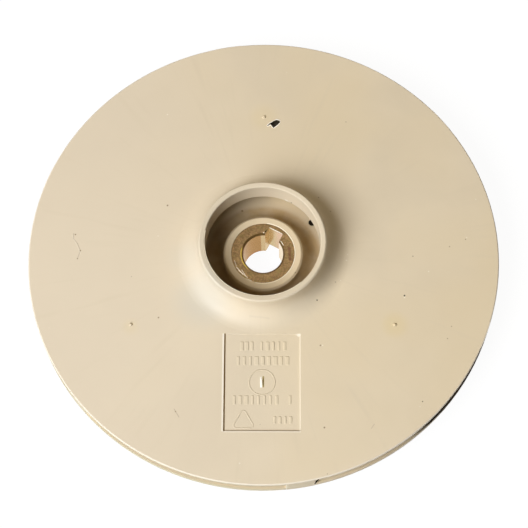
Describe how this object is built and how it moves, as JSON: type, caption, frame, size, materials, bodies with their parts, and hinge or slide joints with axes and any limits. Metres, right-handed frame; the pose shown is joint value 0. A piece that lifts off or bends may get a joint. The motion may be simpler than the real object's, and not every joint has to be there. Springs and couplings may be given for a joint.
{
  "type": "pump impeller",
  "caption": "Closed centrifugal pump wheel in cream plastic, with a short suction neck, backward-leaning vanes between its shrouds and a keyed brass bush.",
  "frame": {"origin": "on the wheel's axis, at the rear end of the hub", "axes": "+Z along the axis towards the suction neck, -Y towards the sunk panel"},
  "size_m": [0.165, 0.165, 0.0287],
  "materials": {
    "front_plastic": "fine satin, as moulded",
    "back_plastic": "fine satin, as moulded",
    "brass": "turned, dulled"
  },
  "bodies": {
    "root": {"front_shroud": "front_plastic", "back_shroud": "back_plastic", "hub_bush": "brass"}
  },
  "joints": []
}
